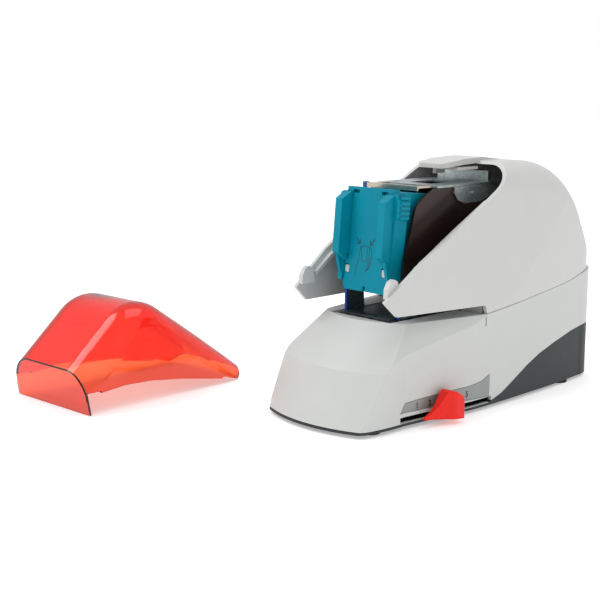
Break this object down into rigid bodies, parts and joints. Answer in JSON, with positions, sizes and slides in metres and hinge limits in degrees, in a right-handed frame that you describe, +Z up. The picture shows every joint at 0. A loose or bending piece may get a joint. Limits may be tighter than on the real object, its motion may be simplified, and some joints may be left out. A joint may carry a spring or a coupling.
{
  "type": "electric stapler",
  "caption": "Desktop electric stapler with a slide-in staple cassette, a motor-driven head, an adjustable force slider and a removable transparent cover.",
  "frame": {"origin": "on the table, under the middle of the machine (not of the lid beside it)", "axes": "+Z up, nose and throat face -Y, force slider on the +X side"},
  "size_m": [0.3054, 0.4131, 0.1906],
  "materials": {
    "light_grey_abs": "moulded ABS, fine satin spark texture",
    "white_abs": "moulded ABS, semi-gloss",
    "charcoal_abs": "moulded ABS, satin charcoal",
    "foot_rubber": "soft black rubber",
    "teal_abs": "moulded ABS, teal",
    "white_pom": "acetal, white",
    "red_abs": "moulded ABS, signal red",
    "inlay_film": "printed scale inlay, silver grey",
    "orange_pc": "tinted transparent polycarbonate",
    "brown_lacquer": "dark brown lacquered steel",
    "zinc_steel": "zinc plated sheet steel",
    "dark_steel": "hardened, oiled steel",
    "nickel": "nickel plated steel",
    "bronze": "sintered bronze",
    "blue_pom": "acetal, blue",
    "black_pa": "black polyamide",
    "green_board": "glass-epoxy circuit board",
    "copper_coil": "enamelled copper winding",
    "staple_wire": "zinc coated staple wire"
  },
  "bodies": {
    "machine": {"bottom_tray": "charcoal_abs", "rubber_feet": "foot_rubber", "base_housing": "light_grey_abs", "upper_housing": "white_abs", "scale_inlay": "inlay_film", "paper_stop": "white_abs", "cover_latch": "white_abs", "power_inlet": "black_pa", "slide_potentiometer": "black_pa", "chassis_base": "zinc_steel", "chassis_side_left": "zinc_steel", "chassis_side_right": "zinc_steel", "frame_spacers": "zinc_steel", "pivot_shaft": "dark_steel", "pivot_bushes": "bronze", "retaining_clips": "zinc_steel", "housing_screws": "zinc_steel", "anvil_tower": "dark_steel", "deck_plate": "dark_steel", "deck_corner_tabs": "zinc_steel", "clinch_link_bar": "bronze", "clinch_side_link": "bronze", "paper_sensor_switch": "black_pa", "return_springs": "zinc_steel", "motor": "zinc_steel", "motor_cradle": "black_pa", "transformer_core": "dark_steel", "transformer_coil": "copper_coil", "control_board": "green_board", "board_standoffs": "zinc_steel", "board_components": "black_pa"},
    "head": {"head_side_left": "brown_lacquer", "head_side_right": "brown_lacquer", "guide_legs": "dark_steel", "leg_strips": "blue_pom", "head_top_plate": "zinc_steel", "head_brackets": "zinc_steel", "cross_block": "zinc_steel", "latch_bar": "nickel", "latch_bar_cap": "blue_pom", "head_spacers": "zinc_steel"},
    "cassette": {"cassette_body": "teal_abs", "cassette_front": "teal_abs", "cassette_windows": "white_pom", "staple_stack": "staple_wire"},
    "grip_right": {"cassette_grip_right": "teal_abs"},
    "grip_left": {"cassette_grip_left": "teal_abs"},
    "driver": {"driver_blade": "dark_steel"},
    "crank": {"crank_shaft": "dark_steel", "eccentrics": "dark_steel", "crank_gear": "dark_steel"},
    "idler": {"idler_gear": "white_pom"},
    "pinion": {"motor_pinion": "dark_steel"},
    "force_slider": {"force_knob": "red_abs", "slider_carriage": "black_pa"},
    "power_switch": {"power_rocker": "black_pa"},
    "paper_sensor": {"paper_sensor_lever": "black_pa"},
    "wing_right": {"clinch_wing_right": "dark_steel"},
    "wing_left": {"clinch_wing_left": "dark_steel"},
    "cover": {"transparent_cover": "orange_pc"}
  },
  "joints": [
    {"name": "crank_turn", "type": "hinge", "parent": "machine", "child": "crank", "pos_m": [0, 0.008, 0.045], "axis": [-1, 0, 0], "range_deg": [0, 180]},
    {"name": "head_pivot", "type": "hinge", "parent": "machine", "child": "head", "pos_m": [0, 0.067, 0.092], "axis": [1, 0, 0], "range_deg": [0, 5.32], "deforming": ["return_springs"]},
    {"name": "cassette_slide", "type": "slide", "parent": "head", "child": "cassette", "axis": [0, -0.9957, 0.0924], "range_m": [0, 0.07]},
    {"name": "grip_right_squeeze", "type": "slide", "parent": "cassette", "child": "grip_right", "axis": [-1, 0, 0], "range_m": [0, 0.001], "stiffness_N_per_m": 4000},
    {"name": "grip_left_squeeze", "type": "slide", "parent": "cassette", "child": "grip_left", "axis": [1, 0, 0], "range_m": [0, 0.001], "stiffness_N_per_m": 4000},
    {"name": "driver_stroke", "type": "slide", "parent": "head", "child": "driver", "axis": [0, -0.0924, -0.9957], "range_m": [0, 0.0092]},
    {"name": "idler_spin", "type": "hinge", "parent": "machine", "child": "idler", "pos_m": [0.042, 0.0441, 0.045], "axis": [-1, 0, 0], "range_deg": [-540.5, 0]},
    {"name": "pinion_spin", "type": "hinge", "parent": "machine", "child": "pinion", "pos_m": [0.042, 0.0692, 0.045], "axis": [-1, 0, 0], "range_deg": [0, 1620.5]},
    {"name": "force_slide", "type": "slide", "parent": "machine", "child": "force_slider", "axis": [0, 1, 0], "range_m": [-0.027, 0.027]},
    {"name": "power_rock", "type": "hinge", "parent": "machine", "child": "power_switch", "pos_m": [-0.026, 0.141, 0.022], "axis": [1, 0, 0], "range_deg": [0, 10]},
    {"name": "paper_sense", "type": "hinge", "parent": "machine", "child": "paper_sensor", "pos_m": [0, -0.0222, 0.06], "axis": [-1, 0, 0], "range_deg": [0, 12], "stiffness_Nm_per_rad": 0.02},
    {"name": "wing_right_fold", "type": "hinge", "parent": "machine", "child": "wing_right", "pos_m": [0.0075, -0.078, 0.064], "axis": [0, 1, 0], "range_deg": [0, 20.2]},
    {"name": "wing_left_fold", "type": "hinge", "parent": "machine", "child": "wing_left", "pos_m": [-0.0075, -0.078, 0.064], "axis": [0, -1, 0], "range_deg": [0, 20.2]},
    {"name": "cover_lift", "type": "slide", "parent": "machine", "child": "cover", "axis": [0, 0, 1], "range_m": [0, 0.14]}
  ],
  "couplings": [
    {"joint": "head_pivot", "follows": "crank_turn", "ratio": 0.029444},
    {"joint": "driver_stroke", "follows": "crank_turn", "m_per_rad": 0.0028648},
    {"joint": "idler_spin", "follows": "crank_turn", "ratio": -3},
    {"joint": "pinion_spin", "follows": "crank_turn", "ratio": 9},
    {"joint": "wing_right_fold", "follows": "crank_turn", "ratio": 0.11111},
    {"joint": "wing_left_fold", "follows": "crank_turn", "ratio": 0.11111}
  ]
}
